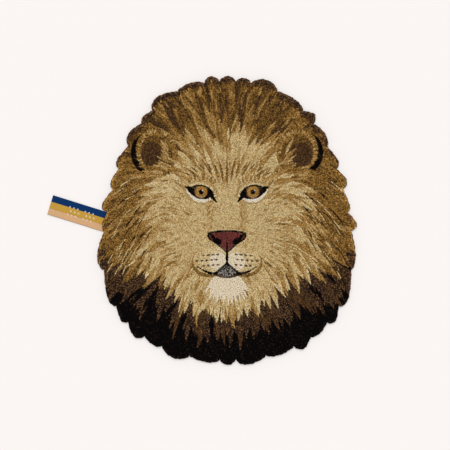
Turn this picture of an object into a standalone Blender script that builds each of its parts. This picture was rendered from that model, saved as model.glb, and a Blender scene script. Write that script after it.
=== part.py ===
"""A child's rug in the shape of a lion's head, hand tufted in wool, with a ribbon loop sewn in at its left edge.

Metres, +Z up. The rug lies on the floor with its pile up and its crown towards +Y. The origin is the middle of its
flat underside. Turns run clockwise, as seen from above, from 0 at the crown to pi at the chin.
"""

import math
from collections import namedtuple

import bmesh
import bpy
from mathutils import Matrix, Vector

# The rug over the tips of its locks, and the pile's full height with its ground cloth.
RUG_WIDTH = 0.650
RUG_LENGTH = 0.7225
PILE_TOP = 0.015

# The head without its locks: an oval, wider below than above, and fuller than an ellipse at its shoulders and cheeks.
HEAD_HALF_WIDTH = 0.313
HEAD_HALF_LENGTH = 0.348
HEAD_JOWLS = 0.18
HEAD_SHOULDERS = 0.070
HEAD_CHEEKS = 0.020

# The mane's locks round the rim: each one bulges, most on the side towards the chin, and no two are quite alike.
LOCKS = 34
SPOKES_PER_LOCK = 8
LOCK_TIP = 0.0110
LOCK_ROUNDNESS = 0.70
LOCK_LEAN = 0.90
LOCK_UNEVENNESS = 0.45
LOCK_RHYTHM = 3.7

# Sways shift the locks along the rim, so that some are broad and some narrow.
Sway = namedtuple("Sway", "waves shift")
LOCK_SWAYS = (
    Sway(waves=3, shift=0.040),
    Sway(waves=5, shift=-0.040),
    Sway(waves=8, shift=-0.035),
    Sway(waves=13, shift=0.020),
)

# One row for each ring of the rug's upper side, from near the middle out over the rounded rim and down to the floor.
# reach: the share of the way out to the head's edge. locks: how much of the locks' bulge the ring takes.
# drop: how far the ring lies below the pile's top.
Ring = namedtuple("Ring", "reach locks drop")
RINGS = (
    Ring(reach=0.300, locks=0.00, drop=0.0000),
    Ring(reach=0.600, locks=0.00, drop=0.0000),
    Ring(reach=0.840, locks=0.10, drop=0.0001),
    Ring(reach=0.930, locks=0.55, drop=0.0004),
    Ring(reach=0.965, locks=0.80, drop=0.0012),
    Ring(reach=0.983, locks=0.91, drop=0.0025),
    Ring(reach=0.994, locks=0.97, drop=0.0047),
    Ring(reach=1.000, locks=1.00, drop=0.0080),
    Ring(reach=0.999, locks=1.00, drop=0.0115),
    Ring(reach=0.995, locks=0.99, drop=PILE_TOP),
)

# The pile lies a little uneven: low swells, counted in waves per metre.
Swell = namedtuple("Swell", "across along phase")
SWELLS = (
    Swell(across=3.1, along=1.7, phase=0.4),
    Swell(across=1.3, along=-3.4, phase=2.0),
    Swell(across=-4.2, along=2.6, phase=4.1),
)
SWELL_HEIGHT = 0.00025

# The loop: a ribbon folded in two, its raw ends sewn into the rug's edge and its fold at the far end.
LOOP_WIDTH = 0.050
LOOP_END_X = -0.441
LOOP_END_Y = 0.039
LOOP_DIRECTION = math.radians(162.6)
LOOP_TUCK = 0.017
LOOP_OUT = 0.141
LOOP_THICKNESS = 0.0010
LOOP_GAP_AT_ROOT = 0.0004
LOOP_GAP_AT_FOLD = 0.0020
LOOP_ROOT_HEIGHT = 0.0021
LOOP_FLOOR_HEIGHT = 0.0006
LOOP_LEVEL_OUT = 0.020
LOOP_DROOP = 0.032
LAYER_STEPS = 22
FOLD_STEPS = 6
RIBBON_COLUMNS = 4
CLEARANCE = 0.0003


def clear_scene():
    for thing in list(bpy.data.objects):
        bpy.data.objects.remove(thing)


def collection_named(name):
    made = bpy.data.collections.new(name)
    bpy.context.scene.collection.children.link(made)
    return made


def object_from(name, shape, collection):
    """Makes an object of the bmesh, and frees the bmesh."""
    mesh = bpy.data.meshes.new(name)
    shape.to_mesh(mesh)
    shape.free()
    made = bpy.data.objects.new(name, mesh)
    collection.objects.link(made)
    return made


def cloth_material(name, colour, roughness):
    made = bpy.data.materials.new(name)
    made.use_nodes = True
    shader = made.node_tree.nodes["Principled BSDF"]
    shader.inputs["Base Color"].default_value = (*colour, 1.0)
    shader.inputs["Roughness"].default_value = roughness
    shader.inputs["Metallic"].default_value = 0.0
    return made


def smoothstep(share):
    share = min(max(share, 0.0), 1.0)
    return share * share * (3.0 - 2.0 * share)


def turn_of(place):
    """The turn at a place on the rim, which is counted in locks, once the sways have shifted it."""
    turn = math.tau * place / LOCKS
    return turn + sum(sway.shift * math.sin(sway.waves * turn) for sway in LOCK_SWAYS)


def head_point(turn, reach):
    """A point this share of the way from the middle out to the head's edge, without its locks."""
    fullness = HEAD_CHEEKS + (HEAD_SHOULDERS - HEAD_CHEEKS) * (1.0 + math.cos(turn)) / 2.0
    out = reach * (1.0 + fullness * math.sin(2.0 * turn) ** 2)
    half_width = HEAD_HALF_WIDTH * (1.0 - HEAD_JOWLS * math.cos(turn))
    return Vector((out * half_width * math.sin(turn), out * HEAD_HALF_LENGTH * math.cos(turn)))


def lock_bulge(place):
    """How far the lock at this place stands out: nothing in the notches, and most on the side towards the chin."""
    lock = math.floor(place + 0.5)
    across = place + 0.5 - lock
    side = math.sin(math.tau * lock / LOCKS)
    if side < 0.0:
        across = 1.0 - across
    across = across ** (1.0 + LOCK_LEAN * abs(side))
    size = 1.0 + LOCK_UNEVENNESS * math.sin(LOCK_RHYTHM * (lock % LOCKS))
    return LOCK_TIP * size * max(math.sin(math.pi * across), 0.0) ** LOCK_ROUNDNESS


def ring_point(ring, place):
    """Where the ring lies at this place, before the rug is brought to its exact size."""
    point = head_point(turn_of(place), ring.reach)
    return point + point.normalized() * ring.locks * lock_bulge(place)


def fit_to_size():
    """The scale that brings the widest ring to the rug's width and length, and that ring's middle."""
    widest = max(RINGS, key=lambda ring: ring.reach)
    edge = [ring_point(widest, spoke / SPOKES_PER_LOCK) for spoke in range(LOCKS * SPOKES_PER_LOCK)]
    low = Vector((min(p.x for p in edge), min(p.y for p in edge)))
    high = Vector((max(p.x for p in edge), max(p.y for p in edge)))
    return Vector((RUG_WIDTH / (high.x - low.x), RUG_LENGTH / (high.y - low.y))), (low + high) / 2.0


def pile_height(drop, x, y):
    swell = sum(math.sin(math.tau * (s.across * x + s.along * y) + s.phase) for s in SWELLS)
    height = PILE_TOP - drop
    return height + SWELL_HEIGHT * (swell - len(SWELLS)) * height / PILE_TOP


def add_rug(parts, cutter, material):
    """A sphere pressed flat: each of its circles of latitude becomes one ring, and its poles the two flat middles."""
    circles = len(RINGS) + 1
    spokes = LOCKS * SPOKES_PER_LOCK
    scale, middle = fit_to_size()
    shape = bmesh.new()
    bmesh.ops.create_uvsphere(shape, u_segments=spokes, v_segments=circles, radius=1.0)
    for vert in shape.verts:
        circle = round(math.acos(min(max(vert.co.z, -1.0), 1.0)) / math.pi * circles)
        if 0 < circle < circles:
            ring = RINGS[circle - 1]
            spoke = round(math.atan2(vert.co.x, vert.co.y) / math.tau * spokes) % spokes
            point, drop = ring_point(ring, spoke / SPOKES_PER_LOCK), ring.drop
        else:
            point, drop = Vector((0.0, 0.0)), PILE_TOP * (circle > 0)
        x, y = (point - middle) * scale
        vert.co = (x, y, pile_height(drop, x, y))
    bmesh.ops.recalc_face_normals(shape, faces=shape.faces)
    rug = object_from("tufted_rug", shape, parts)
    rug.data.materials.append(material)
    rug.data.shade_smooth()
    rug.data.set_sharp_from_angle(angle=math.radians(50.0))
    pocket = rug.modifiers.new("seam_pocket", "BOOLEAN")
    pocket.operation = "DIFFERENCE"
    pocket.object = cutter


def loop_path():
    """The ribbon's middle line as (way out of the seam, height): out along the floor, round the fold and back."""
    layers = []
    for step in range(LAYER_STEPS + 1):
        out = -LOOP_TUCK + (LOOP_OUT + LOOP_TUCK) * step / LAYER_STEPS
        down = smoothstep((out - LOOP_LEVEL_OUT) / LOOP_DROOP)
        low = LOOP_ROOT_HEIGHT + (LOOP_FLOOR_HEIGHT - LOOP_ROOT_HEIGHT) * down
        gap = LOOP_GAP_AT_ROOT + (LOOP_GAP_AT_FOLD - LOOP_GAP_AT_ROOT) * smoothstep(out / LOOP_OUT)
        layers.append((out, low, low + LOOP_THICKNESS + gap))
    last, low, high = layers[-1]
    radius = (high - low) / 2.0
    fold = []
    for step in range(1, FOLD_STEPS):
        angle = math.pi * step / FOLD_STEPS
        fold.append((last + radius * math.sin(angle), low + radius * (1.0 - math.cos(angle))))
    lower = [(out, low) for out, low, high in layers]
    upper = [(out, high) for out, low, high in reversed(layers)]
    return lower + fold + upper


def loop_frame():
    """Local X runs out of the seam, and local Y across the ribbon."""
    out = Vector((math.cos(LOOP_DIRECTION), math.sin(LOOP_DIRECTION), 0.0))
    seam = Vector((LOOP_END_X, LOOP_END_Y, 0.0)) - out * LOOP_OUT
    return Matrix.Translation(seam) @ Matrix.Rotation(LOOP_DIRECTION, 4, "Z")


def add_ribbon(parts, material):
    """A grid whose columns follow the loop's path and whose rows run along the ribbon, thickened."""
    path = loop_path()
    shape = bmesh.new()
    bmesh.ops.create_grid(shape, x_segments=len(path) - 1, y_segments=RIBBON_COLUMNS, size=1.0)
    for vert in shape.verts:
        out, height = path[round((vert.co.x + 1.0) / 2.0 * (len(path) - 1))]
        vert.co = (out, vert.co.y * LOOP_WIDTH / 2.0, height)
    ribbon = object_from("ribbon_loop", shape, parts)
    ribbon.matrix_world = loop_frame()
    ribbon.data.materials.append(material)
    thickness = ribbon.modifiers.new("thickness", "SOLIDIFY")
    thickness.thickness = LOOP_THICKNESS
    thickness.offset = 0.0


def add_seam_cutter(cutters):
    """The pocket in the rug's edge that holds the ribbon's two raw ends, with clearance all round."""
    length = LOOP_TUCK + LOOP_LEVEL_OUT + CLEARANCE
    thick = 2.0 * LOOP_THICKNESS + LOOP_GAP_AT_ROOT
    height = LOOP_ROOT_HEIGHT + (thick - LOOP_THICKNESS) / 2.0
    shape = bmesh.new()
    bmesh.ops.create_cube(shape, size=1.0)
    bmesh.ops.scale(shape, vec=(length, LOOP_WIDTH + 2.0 * CLEARANCE, thick + 2.0 * CLEARANCE), verts=shape.verts)
    bmesh.ops.translate(shape, vec=(length / 2.0 - LOOP_TUCK - CLEARANCE, 0.0, height), verts=shape.verts)
    cutter = object_from("seam_cutter", shape, cutters)
    cutter.matrix_world = loop_frame()
    cutter.hide_render = True
    cutter.display_type = "WIRE"
    return cutter


def build():
    clear_scene()
    parts = collection_named("lion_head_rug")
    cutters = collection_named("cutters")
    wool = cloth_material("wool_pile", colour=(0.26, 0.15, 0.055), roughness=0.95)
    woven = cloth_material("woven_ribbon", colour=(0.53, 0.36, 0.11), roughness=0.6)
    add_rug(parts, add_seam_cutter(cutters), wool)
    add_ribbon(parts, woven)


build()
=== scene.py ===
"""The looks of a child's rug in the shape of a lion's head, hand tufted in wool, with a woven ribbon loop.

Meshes are in metres and +Z is up. The design is worked out on a flat chart in millimetres, as its maker's
drawing is. A turn is clockwise, as seen from above, from 0 towards the crown to pi towards the chin.
"""

import math
from collections import namedtuple
from functools import partialmethod

import bpy
import numpy as np
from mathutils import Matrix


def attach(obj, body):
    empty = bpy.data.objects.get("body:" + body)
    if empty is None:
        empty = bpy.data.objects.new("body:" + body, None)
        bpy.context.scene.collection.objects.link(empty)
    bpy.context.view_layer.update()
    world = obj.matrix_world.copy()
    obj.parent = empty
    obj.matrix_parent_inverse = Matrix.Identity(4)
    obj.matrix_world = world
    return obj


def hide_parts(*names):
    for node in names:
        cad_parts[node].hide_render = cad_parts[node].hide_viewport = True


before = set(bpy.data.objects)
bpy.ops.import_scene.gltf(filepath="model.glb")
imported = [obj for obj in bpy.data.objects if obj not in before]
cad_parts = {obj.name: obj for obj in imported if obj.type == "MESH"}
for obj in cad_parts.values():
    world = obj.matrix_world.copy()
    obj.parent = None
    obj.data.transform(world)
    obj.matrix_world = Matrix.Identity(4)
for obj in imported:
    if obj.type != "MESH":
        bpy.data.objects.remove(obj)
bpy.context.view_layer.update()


# ---- The outline of the head -------------------------------------------------------------------------------
# What the maker marks on the ground cloth first: an oval head, wider below than above, with the mane's locks
# bulging from its rim. The backing is trimmed to it, and the outermost tufts lean a little past it.

RUG_WIDTH = 650.0
RUG_LENGTH = 722.5
HEAD_HALF_WIDTH = 313.0
HEAD_HALF_LENGTH = 348.0
HEAD_JOWLS = 0.18
HEAD_SHOULDERS = 0.070
HEAD_CHEEKS = 0.020
LOCKS = 34
STEPS_PER_LOCK = 24
LOCK_TIP = 11.0
LOCK_ROUNDNESS = 0.70
LOCK_LEAN = 0.90
LOCK_UNEVENNESS = 0.45
LOCK_RHYTHM = 3.7
BATCH = 4000
TOUCHING = 0.01

Sway = namedtuple("Sway", "waves shift")
LOCK_SWAYS = (
    Sway(waves=3, shift=0.040),
    Sway(waves=5, shift=-0.040),
    Sway(waves=8, shift=-0.035),
    Sway(waves=13, shift=0.020),
)


def head_outline():
    """Points round the rim. The oval is (half width * (1 - jowls * cos) * sin, half length * cos) of a turn
    that sways, fuller between the axes. Each lock adds a bulge, a sine to a power, that leans chinwards."""
    place = np.arange(LOCKS * STEPS_PER_LOCK) / STEPS_PER_LOCK
    even = math.tau * place / LOCKS
    turn = even + sum(sway.shift * np.sin(sway.waves * even) for sway in LOCK_SWAYS)
    fullness = HEAD_CHEEKS + (HEAD_SHOULDERS - HEAD_CHEEKS) * (1.0 + np.cos(turn)) / 2.0
    fullness = 1.0 + fullness * np.sin(2.0 * turn) ** 2
    half_width = HEAD_HALF_WIDTH * (1.0 - HEAD_JOWLS * np.cos(turn))
    x, y = fullness * half_width * np.sin(turn), fullness * HEAD_HALF_LENGTH * np.cos(turn)
    oval = np.stack([x, y], axis=1)
    lock = np.floor(place + 0.5)
    side = np.sin(math.tau * lock / LOCKS)
    across = place + 0.5 - lock
    across = np.where(side < 0.0, 1.0 - across, across) ** (1.0 + LOCK_LEAN * np.abs(side))
    size = 1.0 + LOCK_UNEVENNESS * np.sin(LOCK_RHYTHM * (lock % LOCKS))
    bulge = LOCK_TIP * size * np.maximum(np.sin(math.pi * across), 0.0) ** LOCK_ROUNDNESS
    rim = oval * (1.0 + bulge / np.hypot(*oval.T))[:, None]
    low, high = rim.min(axis=0), rim.max(axis=0)
    return (rim - (low + high) / 2.0) * (RUG_WIDTH, RUG_LENGTH) / (high - low)


OUTLINE = head_outline()
OUTLINE_TURNS = np.arctan2(*OUTLINE.T)
OUTLINE_RADII = np.hypot(*OUTLINE.T)


def rim_radius(turn):
    """How far the rim is from the rug's middle in this direction."""
    return np.interp(turn, OUTLINE_TURNS, OUTLINE_RADII, period=math.tau)


def from_rim(places):
    """For each place: how far inside the outline it is, less than 0 outside, and the way out square to it.
    The distance is to the nearest point of the nearest of the outline's short straight stretches."""
    stretch = np.roll(OUTLINE, -1, axis=0) - OUTLINE
    depth = np.empty(len(places))
    outwards = np.empty((len(places), 2))
    for first in range(0, len(places), BATCH):
        batch = np.s_[first:first + BATCH]
        some = places[batch]
        offset = some[:, None, :] - OUTLINE[None, :, :]
        share = np.clip((offset * stretch).sum(axis=2) / (stretch ** 2).sum(axis=1), 0.0, 1.0)
        apart = offset - share[:, :, None] * stretch
        near = np.argmin((apart ** 2).sum(axis=2), axis=1)
        way = apart[np.arange(len(some)), near]
        far = np.hypot(*way.T)
        inside = np.hypot(*some.T) < rim_radius(np.arctan2(*some.T))
        sign = np.where(inside, -1.0, 1.0)
        square = np.stack([-stretch[near, 1], stretch[near, 0]], axis=1)
        depth[batch] = -sign * far
        outwards[batch] = np.where(far[:, None] > TOUCHING, sign[:, None] * way, square)
    return depth, outwards / np.hypot(*outwards.T)[:, None]


# ---- The yarns ---------------------------------------------------------------------------------------------
# Dyed woollen yarns of two plies. Each holds flecks of a second shade, in the share given, and its dye is a
# little uneven from tuft to tuft. They run from dark to light, and then come the nose's and the eyes' own.

Yarn = namedtuple("Yarn", "name colour fleck share unevenness")
YARNS = (
    Yarn("black", colour=(6, 4, 4), fleck=(34, 23, 18), share=0.08, unevenness=0.30),
    Yarn("soot", colour=(43, 30, 21), fleck=(94, 67, 43), share=0.31, unevenness=0.25),
    Yarn("bark", colour=(78, 54, 31), fleck=(44, 29, 19), share=0.32, unevenness=0.22),
    Yarn("mane brown", colour=(108, 78, 37), fleck=(62, 42, 19), share=0.33, unevenness=0.22),
    Yarn("golden brown", colour=(134, 99, 48), fleck=(82, 57, 25), share=0.34, unevenness=0.22),
    Yarn("gold", colour=(157, 122, 68), fleck=(116, 85, 42), share=0.30, unevenness=0.16),
    Yarn("tan", colour=(173, 144, 94), fleck=(143, 112, 65), share=0.28, unevenness=0.12),
    Yarn("sand", colour=(190, 167, 121), fleck=(160, 132, 84), share=0.26, unevenness=0.10),
    Yarn("pale sand", colour=(199, 178, 136), fleck=(172, 145, 98), share=0.24, unevenness=0.09),
    Yarn("cream", colour=(219, 204, 178), fleck=(212, 194, 163), share=0.15, unevenness=0.03),
    Yarn("white", colour=(236, 227, 208), fleck=(226, 212, 186), share=0.15, unevenness=0.05),
    Yarn("amber", colour=(160, 118, 56), fleck=(140, 98, 44), share=0.20, unevenness=0.10),
    Yarn("terracotta", colour=(104, 50, 46), fleck=(78, 39, 36), share=0.30, unevenness=0.15),
    Yarn("slate", colour=(130, 124, 117), fleck=(26, 23, 22), share=0.52, unevenness=0.20),
)
NUMBER = {yarn.name: number for number, yarn in enumerate(YARNS)}
LIGHTEST_HAIR = NUMBER["pale sand"]


def linear(colours):
    """Light from screen values of 0 to 255, above the toe ((value + 0.055) / 1.055) to the power 2.4."""
    value = np.asarray(colours, dtype=float) / 255.0
    return np.where(value <= 0.04045, value / 12.92, ((value + 0.055) / 1.055) ** 2.4)


YARN_COLOURS = linear([yarn.colour for yarn in YARNS])
FLECK_COLOURS = linear([yarn.fleck for yarn in YARNS])
LIGHTNESS = np.array([sum(yarn.colour) / 3.0 for yarn in YARNS])


# ---- The chart ---------------------------------------------------------------------------------------------
# The maker's drawing, which says where each yarn goes: a plain, frontal lion of the maker's own, in strokes
# of hair laid over each other from the rim inwards, and then the ears, the face, the mouth, the nose and the
# eyes.

SEED = 5
CHART_STEP = 0.8
CHART_HALF_WIDTH = 345.6
CHART_HALF_LENGTH = 381.6
STROKE_FULLNESS = 0.8
ROW_SPACING = 0.866
HAIR_GRID = (342.0, 378.0)
HAIR_PAST_RIM = 8.0
NO_LIMIT = 999.0

columns = np.arange(-CHART_HALF_WIDTH, CHART_HALF_WIDTH + CHART_STEP / 2.0, CHART_STEP)
rows = np.arange(-CHART_HALF_LENGTH, CHART_HALF_LENGTH + CHART_STEP / 2.0, CHART_STEP)
X, Y = np.meshgrid(columns, rows)
chart = np.full(X.shape, NUMBER["golden brown"])
chance = np.random.default_rng(SEED)
between = chance.uniform


def slip(spread):
    """A shift to either side by chance, mostly smaller than the spread."""
    return chance.normal(0.0, spread)


def heading(turn):
    """The way that this turn points, its sine across and its cosine along."""
    return np.array([math.sin(turn), math.cos(turn)])


def hair(yarn, root, turn, length, width, bend=0.0, belly=0.4):
    """One stroke: all places within the half width, a sine of the way along to a power that puts its widest
    at the belly, of a parabola that starts at the root and leaves its heading by bend times its length."""
    ahead = heading(turn)
    beside = np.array([ahead[1], -ahead[0]])
    tip = root + ahead * length
    spare = width + abs(bend) * length
    low = np.minimum(root, tip) - spare + (CHART_HALF_WIDTH, CHART_HALF_LENGTH)
    high = np.maximum(root, tip) + spare + (CHART_HALF_WIDTH, CHART_HALF_LENGTH)
    left, bottom = np.maximum(low / CHART_STEP, 0).astype(int)
    right, top = np.maximum(high / CHART_STEP, 0).astype(int) + 1
    window = np.s_[bottom:top, left:right]
    dx, dy = X[window] - root[0], Y[window] - root[1]
    share = np.clip((dx * ahead[0] + dy * ahead[1]) / length, 0.0, 1.0)
    aside = dx * beside[0] + dy * beside[1] - bend * length * share ** 2
    skew = math.log(0.5) / math.log(belly)
    half = width / 2.0 * np.sin(math.pi * share ** skew) ** STROKE_FULLNESS
    chart[window][np.abs(aside) < half] = NUMBER[yarn]


def oval(x, y, half_width, half_length, tilt=0.0):
    """The places inside an oval: the squares of both ways, as shares of its halves, add to less than 1."""
    u = ((X - x) * math.cos(tilt) - (Y - y) * math.sin(tilt)) / half_width
    v = ((X - x) * math.sin(tilt) + (Y - y) * math.cos(tilt)) / half_length
    return u ** 2 + v ** 2 < 1.0


def fill(yarn, mask):
    """Draws this yarn at the mask's places."""
    chart[mask] = NUMBER[yarn]


def one_of(**shares):
    """A yarn picked by chance, more often the larger its share. Its name is written with _ for a space."""
    weights = np.array(list(shares.values()), dtype=float)
    return list(shares)[chance.choice(len(weights), p=weights / weights.sum())].replace("_", " ")


# The short-haired face is a shield about its middle: the way round from the forehead and how far it reaches.
Reach = namedtuple("Reach", "degrees radius")
FACE_MIDDLE = (0.0, -22.0)
FACE = (
    Reach(degrees=0, radius=168),
    Reach(degrees=25, radius=160),
    Reach(degrees=50, radius=137),
    Reach(degrees=80, radius=132),
    Reach(degrees=105, radius=140),
    Reach(degrees=130, radius=146),
    Reach(degrees=155, radius=150),
    Reach(degrees=180, radius=160),
)
FACE_TURNS = np.radians([reach.degrees for reach in FACE])
FACE_RADII = [reach.radius for reach in FACE]


def mane_share(x, y):
    """0 at the face's edge, 1 at the rim, and from -1 to 0 inside the face."""
    dx, dy = x - FACE_MIDDLE[0], y - FACE_MIDDLE[1]
    face = np.interp(np.abs(np.arctan2(dx, dy)), FACE_TURNS, FACE_RADII)
    out = np.hypot(dx, dy)
    left = rim_radius(np.arctan2(x, y)) - np.hypot(x, y)
    return np.where(out < face, out / face - 1.0, (out - face) / np.maximum(out - face + left, 1.0))


def honeycomb(pitch, half_width, half_length):
    """Places in staggered rows, (x, y)."""
    y, x = np.mgrid[-half_length:half_length:pitch * ROW_SPACING, -half_width:half_width:pitch]
    x = x + pitch / 2.0 * (np.arange(len(x)) % 2)[:, None]
    return x.ravel(), y.ravel()


def hair_roots(pitch, jitter, lowest, highest):
    """A shifted honeycomb's places with a mane share between the two: (share, x, y), outermost first."""
    x, y = (part + chance.normal(0.0, jitter, part.size) for part in honeycomb(pitch, *HAIR_GRID))
    share = mane_share(x, y)
    on_rug = np.hypot(x, y) < rim_radius(np.arctan2(x, y)) + HAIR_PAST_RIM
    kept = (share > lowest) & (share < highest) & on_rug
    order = np.argsort(-share[kept])
    return np.stack([share[kept], x[kept], y[kept]], axis=1)[order]


# The mane: coarse hair that stands out from the face and falls to the sides. Next to the face it is a
# sand-coloured ruff, then golden brown at the sides, browner with a dark rim on the crown, and below it goes
# over dark brown to black.

MANE_PITCH = 15.5
MANE_START_Y = 20.0
MANE_DROP = 0.18
MANE_FALL = 0.42
MANE_WAVE = 0.13
SHORT_HAIR = (44.0, 66.0)
LONG_HAIR = (54.0, 88.0)
LEAST_HAIR = 12.0
STREAK_CHANCE = 0.5
CROWN_RIM = 15.0
CROWN_SIDES = 70.0
CROWN_FADE = 30.0
BROWN_START = 102.0
BLACK_START = 112.0
LOWER_FADE = 26.0

# A border in the mane is a share, which shifts by so much where the mane is all crown or all lower mane.
Border = namedtuple("Border", "share shift")
BLACK_FROM = Border(share=1.02, shift=-0.57)
BROWN_FROM = Border(share=0.76, shift=-0.59)
RUFF_TO = Border(share=0.34, shift=-0.16)
GOLD_TO = Border(share=0.42, shift=-0.10)


def mane_turn(x, y):
    """Hair runs out from just above the nose, and the further to the side it is, the more it falls."""
    dx, dy = np.array([x, y - MANE_START_Y]) / math.hypot(x, y - MANE_START_Y)
    return math.atan2(dx, dy - (MANE_DROP + MANE_FALL * abs(dx)) * abs(dx))


def crownness(turn):
    """1 on the crown and 0 at the sides and below."""
    return np.clip((CROWN_SIDES - np.degrees(np.abs(turn))) / CROWN_FADE, 0.0, 1.0)


def lowness(turn, start):
    """0 as far down as the start, in degrees from the crown, and 1 below its fade."""
    return min(max((math.degrees(abs(turn)) - start) / LOWER_FADE, 0.0), 1.0)


def border(of, amount):
    """The border's share plus this much of its shift."""
    return of.share + of.shift * amount


def mane_yarn(share, turn):
    """The yarn of a stroke there: the lower mane's dark bands, the ruff, or the crown's or sides' own."""
    above = float(crownness(turn))
    brown, black = lowness(turn, BROWN_START), lowness(turn, BLACK_START)
    share = share + slip(0.025)
    if black > 0.0 and share > border(BLACK_FROM, black):
        return "black"
    if brown > 0.0 and share > border(BROWN_FROM, brown):
        return one_of(soot=74, bark=20, black=6)
    if share < border(RUFF_TO, above):
        return one_of(sand=54, pale_sand=10, tan=14, gold=22)
    if share < border(GOLD_TO, above):
        return one_of(tan=20, gold=44, golden_brown=36)
    if above > 0.5:
        return one_of(mane_brown=36, golden_brown=34, gold=14, bark=16)
    return one_of(golden_brown=78, gold=8, mane_brown=14)


def streak_yarn(yarn):
    """A streak's yarn in a stroke of this one: next darker or lighter, or in dark hair its own or lighter."""
    if NUMBER[yarn] > NUMBER["soot"]:
        step = int(chance.choice([-1, 1]))
    else:
        step = int(yarn != "black" and chance.random() < 0.35)
    return YARNS[min(NUMBER[yarn] + step, LIGHTEST_HAIR)].name


# What shows between the strokes.
chart_turns = np.arctan2(X, Y)
chart_degrees = np.degrees(np.abs(chart_turns))
chart_shares = mane_share(X, Y)
room_to_rim = rim_radius(chart_turns) - np.hypot(X, Y)
fill("mane brown", crownness(chart_turns) > 0.4)
fill("bark", room_to_rim < CROWN_RIM * 1.3 * crownness(chart_turns))
fill("soot", room_to_rim < CROWN_RIM * 0.8 * crownness(chart_turns))
fill("soot", (chart_degrees > 115.0) & (chart_shares > 0.4))
fill("black", (chart_degrees > 127.0) & (chart_shares > 0.5))
fill("tan", chart_shares < 0.3)

# The strokes. Light ones end at the rim, or short of the crown's dark rim, and dark ones run past it.
for share, x, y in hair_roots(MANE_PITCH, jitter=3.0, lowest=-0.12, highest=1.1):
    side = math.copysign(1.0, x)
    around = math.atan2(x, y)
    turn = mane_turn(x, y) + slip(0.09) + MANE_WAVE * math.sin(17.0 * around + 6.0 * share)
    yarn = mane_yarn(share, around)
    short = NUMBER[yarn] >= NUMBER["tan"] or yarn == "soot"
    length = between(*(SHORT_HAIR if short else LONG_HAIR))
    width = between(10.0, 16.0)
    bend = side * between(0.0, 0.16)
    if NUMBER[yarn] > NUMBER["soot"]:
        room = float(rim_radius(around)) - math.hypot(x, y) - CROWN_RIM * float(crownness(around))
        length = min(length, room + between(-3.0, 7.0))
    if length < LEAST_HAIR:
        continue
    hair(yarn, (x, y), turn, length, width, bend, belly=0.36)
    if chance.random() < STREAK_CHANCE:
        ahead = heading(turn)
        yarn = streak_yarn(yarn)
        aside, on = between(-0.34, 0.34) * width, between(0.0, 0.35)
        root = (x + ahead[1] * aside + ahead[0] * on * length, y - ahead[0] * aside + ahead[1] * on * length)
        turn = turn + slip(0.03) + 1.6 * bend * on
        length = length * between(0.40, 0.62)
        hair(yarn, root, turn, length, between(3.0, 4.4), 0.6 * bend, belly=0.45)

# Single lines of light and of dark yarn, one tuft wide, that lie along the hair down both sides of the mane.

LINES_A_SIDE = 46

for side in (-1, 1):
    for line in range(LINES_A_SIDE):
        around = side * math.radians(between(66.0, 116.0))
        way = between(0.60, 0.90)
        x, y = way * float(rim_radius(around)) * heading(around)
        yarn = one_of(sand=34, tan=26, bark=26, black=14)
        turn = mane_turn(x, y) + side * chance.normal(0.25, 0.08)
        hair(yarn, (x, y), turn, between(24.0, 46.0), between(2.6, 3.4), side * between(0.0, 0.15))

# The ears: round and dark inside, with a rim of short light hair, tufts that grow across them from the inner
# side, and locks of the mane over their feet. A black shade lies outside of each, from its start outwards.

EAR_X = 176.0
EAR_Y = 172.0
EAR_TILT = math.radians(34.0)
EAR_HALF_WIDTH = 50.0
EAR_HALF_LENGTH = 56.0
EAR_RIM = 11.0
EAR_RIM_HALF_TURN = 2.2
EAR_RIM_HAIRS = 44
EAR_TUFTS = 22
EAR_LOCKS = 44

EarLayer = namedtuple("EarLayer", "yarn out down narrower shorter start", defaults=(-NO_LIMIT,))
EAR = (
    EarLayer("black", out=11, down=6, narrower=-2, shorter=0, start=24),
    EarLayer("golden brown", out=0, down=0, narrower=0, shorter=0),
    EarLayer("mane brown", out=1, down=4, narrower=11, shorter=11),
    EarLayer("bark", out=5, down=11, narrower=19, shorter=21),
)

for side in (-1, 1):
    x, y, tilt = side * EAR_X, EAR_Y, side * EAR_TILT
    for layer in EAR:
        half_width, half_length = EAR_HALF_WIDTH - layer.narrower, EAR_HALF_LENGTH - layer.shorter
        shape = oval(x + side * layer.out, y - layer.down, half_width, half_length, tilt)
        fill(layer.yarn, shape & (side * X > EAR_X + layer.start))
    for place in np.linspace(-EAR_RIM_HALF_TURN, EAR_RIM_HALF_TURN, EAR_RIM_HAIRS):
        root_x = x + math.sin(place + tilt) * (EAR_HALF_WIDTH - EAR_RIM)
        root_y = y + math.cos(place + tilt) * (EAR_HALF_LENGTH - EAR_RIM)
        turn = math.atan2(root_x - x, root_y - y) + slip(0.22)
        hair(one_of(tan=34, gold=44, golden_brown=22), (root_x, root_y), turn, between(11.0, 15.0), 5.4)
    for tuft in range(EAR_TUFTS):
        lift = between(-1.0, 1.0)
        root = (x - side * (34.0 - 6.0 * lift) + slip(2.0), y - 24.0 + 30.0 * lift)
        turn = side * (math.radians(62.0) - 0.5 * lift) + slip(0.12)
        yarn = one_of(tan=34, sand=22, gold=30, golden_brown=14)
        hair(yarn, root, turn, between(22.0, 40.0), between(4.8, 6.8), -side * 0.12)
    for lock in range(EAR_LOCKS):
        way = chance.random()
        root = (side * (130.0 + 84.0 * way) + slip(4.0), 130.0 - 22.0 * way + slip(6.0))
        turn = side * math.radians(62.0 + 30.0 * way) + slip(0.14)
        yarn = one_of(golden_brown=44, gold=36, tan=20)
        hair(yarn, root, turn, between(30.0, 50.0), between(6.0, 9.0), side * 0.14)

# The beard hangs from the chin in rows, the lowest first, drawn in to a blunt point.

BEARD_ROWS = 4
BEARD_HAIRS = 17
BEARD_PITCH = 9.0
BEARD_ROW_PITCH = 15.0
BEARD_Y = -212.0

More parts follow.
